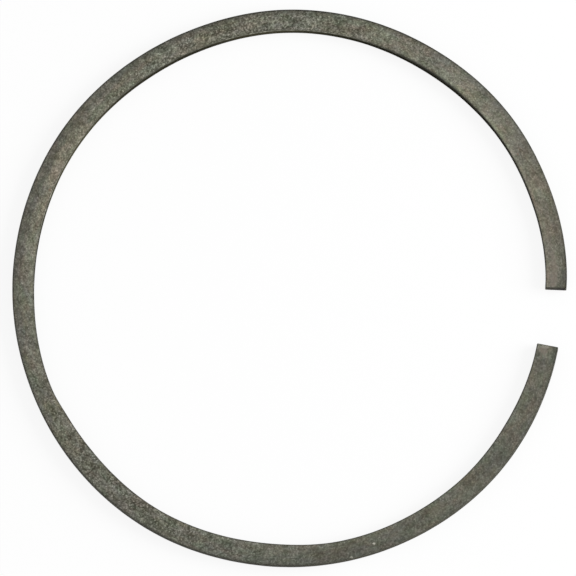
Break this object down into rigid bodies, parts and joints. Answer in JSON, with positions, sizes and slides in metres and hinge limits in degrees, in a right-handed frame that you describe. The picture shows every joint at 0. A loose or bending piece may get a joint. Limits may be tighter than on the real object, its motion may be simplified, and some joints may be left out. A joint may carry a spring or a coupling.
{
  "type": "piston ring",
  "caption": "Plain split compression ring of rectangular section with square-cut butt ends, in its free, sprung-open shape.",
  "frame": {"origin": "middle of the free ring's bounding box, at the lower side face", "axes": "+Z along the ring's axis, the lower side face on z = 0; +X from the ring's back towards its gap; +Y across the free ring, its longest extent"},
  "size_m": [0.0909, 0.0926, 0.0024],
  "materials": {
    "ring_iron": "dark olive-grey phosphated grey iron, matt and finely speckled"
  },
  "bodies": {
    "root": {"piston_ring": "ring_iron"}
  },
  "joints": []
}
